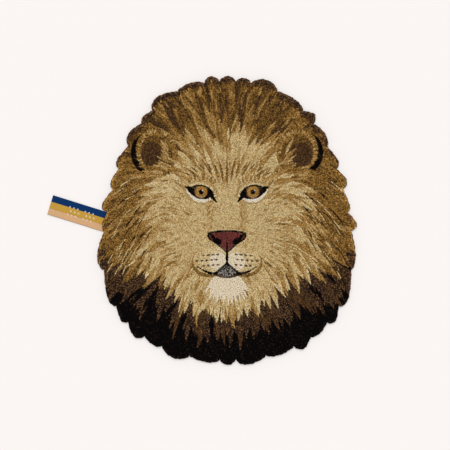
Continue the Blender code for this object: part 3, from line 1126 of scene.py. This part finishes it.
def ribbon_points():
    """The loop's path, (way out of the seam, height), along the floor, round a half circle at the fold and
    back, with low ripples, carried across the ribbon's width. Also its ways along and across the ribbon."""
    out = np.linspace(-RIBBON_TUCK, RIBBON_OUT, RIBBON_STEPS)
    low = ROOT_HEIGHT + (FLOOR_HEIGHT - ROOT_HEIGHT) * eased((out - LEVEL_OUT) / DROOP)
    gap = GAP_AT_ROOT + (GAP_AT_FOLD - GAP_AT_ROOT) * eased(out / RIBBON_OUT)
    high = low + RIBBON_CAD_THICKNESS + gap
    radius = (high[-1] - low[-1]) / 2.0
    bend = np.linspace(0.0, math.pi, 14)[1:-1]
    path_out = np.concatenate([out, RIBBON_OUT + radius * np.sin(bend), out[::-1]])
    path_height = np.concatenate([low, low[-1] + radius * (1.0 - np.cos(bend)), high[::-1]])
    way = np.append(0.0, np.cumsum(np.hypot(np.diff(path_out), np.diff(path_height))))
    across = np.linspace(-0.5, 0.5, RIBBON_COLUMNS + 1)
    free = eased((path_out - LEVEL_OUT) / DROOP)[:, None]
    upper = eased((path_height - low[-1]) / (2.0 * radius))[:, None]
    wave = np.sin(path_out[:, None] / RIPPLE_LENGTH + RIPPLE_SKEW * across[None, :])
    lift = path_height[:, None] + RIPPLE_HEIGHT * free * upper * wave
    forth = np.array([math.cos(RIBBON_TURN), math.sin(RIBBON_TURN)])
    over = np.array([-forth[1], forth[0]])
    seam = np.array(RIBBON_END) - forth * RIBBON_OUT
    flat = seam + path_out[:, None, None] * forth + (RIBBON_WIDTH * across)[None, :, None] * over
    return np.concatenate([flat, lift[:, :, None]], axis=2), way, across * RIBBON_WIDTH


points, ribbon_way, ribbon_across = ribbon_points()
steps, width_steps = points.shape[:2]
step, column = np.mgrid[0:steps - 1, 0:width_steps - 1]
a = step * width_steps + column
triangles = halves(a, a + width_steps, a + 1, a + width_steps + 1)
mesh = mesh_from_arrays("ribbon", points.reshape(-1, 3), triangles)
set_attribute(mesh, "ribbon_way", np.repeat(ribbon_way, width_steps))
set_attribute(mesh, "ribbon_across", np.tile(ribbon_across, steps))

# Satin bands of navy, ochre and peach, woven in fine ribs across, with a darker line where bands meet and
# a darker selvedge. The ribs are also painted lighter on their crests and darker between them, as painted
# shade.
NAVY, OCHRE, PEACH, THREAD_CREAM = ((*linear(colour), 1.0) for colour in (
    (4, 46, 94), (191, 149, 60), (208, 165, 122), (232, 222, 202)))
BAND = RIBBON_WIDTH / 3.0
MEETING_HALF_WIDTH = 0.35
SELVEDGE = 1.1
RIB_PITCH = 0.55
DIAMOND_PITCH = 10.0
DIAMOND_SIZE = 2.4

# The diamonds stand in two groups, whose starts and ends are millimetres from the fold, in three rows across.
DiamondGroup = namedtuple("DiamondGroup", "start end")
DIAMOND_GROUPS = (
    DiamondGroup(start=47.5, end=77.5),
    DiamondGroup(start=87.5, end=117.5),
)
DiamondRow = namedtuple("DiamondRow", "across shift")
DIAMOND_ROWS = (
    DiamondRow(across=-9.5, shift=0.5),
    DiamondRow(across=0.0, shift=0.0),
    DiamondRow(across=9.5, shift=0.5),
)

satin, start, shader = new_material("ribbon_satin", roughness=0.45, sheen=0.08)
way = attribute(start, "ribbon_way", "Fac")
across = attribute(start, "ribbon_across", "Fac")
ribs = (way * (math.tau / RIB_PITCH)).reckon("SINE")
threads = (across * (math.tau / (0.8 * RIB_PITCH))).reckon("SINE")
uneven = noise(start, 420.0)
bands = (across > -BAND / 2.0).mixed(NAVY, (across > BAND / 2.0).mixed(OCHRE, PEACH))
total = float(ribbon_way[-1])
from_fold = (way - total / 2.0).reckon("ABSOLUTE")
in_group = sum((from_fold > group.start) * (from_fold < group.end) for group in DIAMOND_GROUPS)
diamonds = 0.0
for row in DIAMOND_ROWS:
    in_pitch = (from_fold / DIAMOND_PITCH + row.shift).reckon("FRACT") - 0.5
    from_heart = (in_pitch * DIAMOND_PITCH).reckon("ABSOLUTE") + (across - row.across).reckon("ABSOLUTE")
    diamonds = (from_heart < DIAMOND_SIZE) * (from_heart > DIAMOND_SIZE * 0.3) + diamonds
woven = (diamonds * in_group * (0.6 + 0.4 * (ribs > -0.3))).mixed(bands, THREAD_CREAM)
meeting = ((across.reckon("ABSOLUTE") - BAND / 2.0).reckon("ABSOLUTE") < MEETING_HALF_WIDTH) * 0.45
selvedge = (across.reckon("ABSOLUTE") > RIBBON_WIDTH / 2.0 - SELVEDGE) * 0.25
# Painted shade of the ribs, lighter on their crests, times the darker lines and the uneven dye.
shade = (1.0 - meeting - selvedge) * (0.86 + 0.10 * ribs) * (0.75 + 0.50 * uneven)
paint(woven, shade, shader)
emboss(ribs * 0.5 + threads * 0.2, shader, strength=0.5, distance=0.00015)

ribbon = finished("ribbon", mesh, satin)
solid = ribbon.modifiers.new("thickness", "SOLIDIFY")
solid.thickness = RIBBON_THICKNESS * MILLIMETRE
solid.offset = 0.0
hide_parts("ribbon_loop")


# ---- The floor, the light and the camera -------------------------------------------------------------------
# A plain pale paper floor under soft, even studio light, seen from straight above, as the rug was
# photographed. Part of the paper's light is its own, as on a lit table, so that it stays pale by the rug.

FLOOR_SIZE = 40.0
FLOOR_Z = -0.0002
PAPER = linear((252, 247, 244))
PAPER_REFLECTS = 0.53
PAPER_GLOWS = 0.335
SKY = 0.62
SUN = 2.08
SUN_SPREAD = math.radians(36.0)
SUN_TILT = (math.radians(-20.0), math.radians(-2.0), 0.0)
PIXEL = 2.5 * MILLIMETRE
IMAGE_SIZE = 450
RUG_MIDDLE_X = 227.0
RUG_MIDDLE_Y = 220.5
LENS = 100.0
SENSOR = 36.0
CAMERA_ABOVE = IMAGE_SIZE * PIXEL * LENS / SENSOR + 0.5 * PILE_TOP * MILLIMETRE

half = FLOOR_SIZE / 2.0
corners = [(x, y, FLOOR_Z) for x, y in ((-half, -half), (half, -half), (half, half), (-half, half))]
floor_mesh = bpy.data.meshes.new("floor")
floor_mesh.from_pydata(corners, [], [(0, 1, 2, 3)])
floor = placed("floor", floor_mesh)
paper = bpy.data.materials.new("pale_paper")
paper.use_nodes = True
paper_inputs = paper.node_tree.nodes["Principled BSDF"].inputs
paper_inputs["Base Color"].default_value = (*(PAPER_REFLECTS * PAPER), 1.0)
paper_inputs["Emission Color"].default_value = (*PAPER, 1.0)
paper_inputs["Emission Strength"].default_value = PAPER_GLOWS
paper_inputs["Roughness"].default_value = 0.9
paper_inputs["Specular IOR Level"].default_value = 0.1
floor_mesh.materials.append(paper)

world = bpy.data.worlds.new("studio")
world.use_nodes = True
background = world.node_tree.nodes["Background"].inputs
background["Color"].default_value = (1.0, 1.0, 1.0, 1.0)
background["Strength"].default_value = SKY
bpy.context.scene.world = world
sun = bpy.data.lights.new("soft_key", "SUN")
sun.energy = SUN
sun.angle = SUN_SPREAD
placed("soft_key", sun).rotation_euler = SUN_TILT

camera_data = bpy.data.cameras.new("camera")
camera_data.lens = LENS
camera_data.sensor_width = SENSOR
camera = placed("camera", camera_data)
camera.location = ((IMAGE_SIZE / 2.0 - RUG_MIDDLE_X) * PIXEL, (RUG_MIDDLE_Y - IMAGE_SIZE / 2.0) * PIXEL,
                   CAMERA_ABOVE)
bpy.context.scene.camera = camera
bpy.context.scene.view_settings.view_transform = "Standard"
